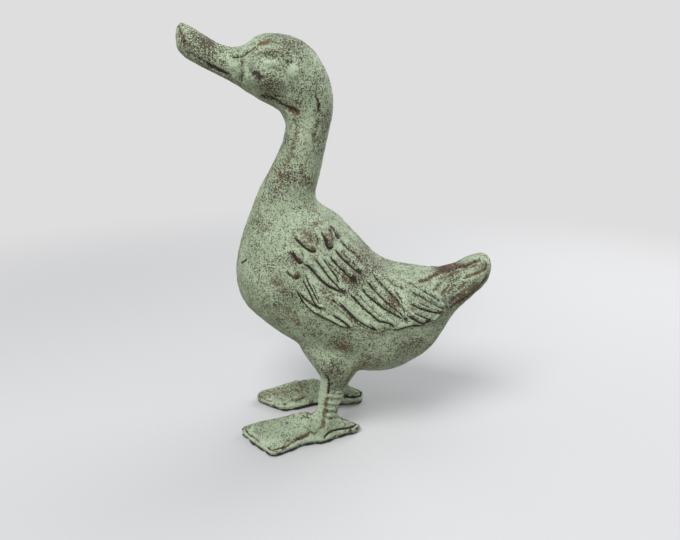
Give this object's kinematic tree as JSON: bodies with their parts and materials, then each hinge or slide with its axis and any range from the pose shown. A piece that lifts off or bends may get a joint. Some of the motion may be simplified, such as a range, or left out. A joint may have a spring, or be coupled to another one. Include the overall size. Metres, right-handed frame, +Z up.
{
  "type": "duck figurine",
  "caption": "Hollow cast iron duck standing on webbed feet, made as two half castings screwed together at the mid-plane; stands alone as a shelf, table or garden ornament.",
  "frame": {"origin": "On the ground below the middle of the outer box, in the mid-plane where the two castings meet", "axes": "+Z up, -X the way the duck faces, -Y its left side"},
  "size_m": [0.214, 0.1082, 0.2892],
  "materials": {
    "verdigris_iron": "matte pale green paint on rough sand-cast iron, speckled dark and rubbed to rust in the grooves",
    "screw_steel": "dull steel, slotted cheese head"
  },
  "bodies": {
    "root": {"left_casting": "verdigris_iron", "right_casting": "verdigris_iron", "neck_screw": "screw_steel", "breast_screw": "screw_steel", "flank_screw": "screw_steel"}
  },
  "joints": []
}
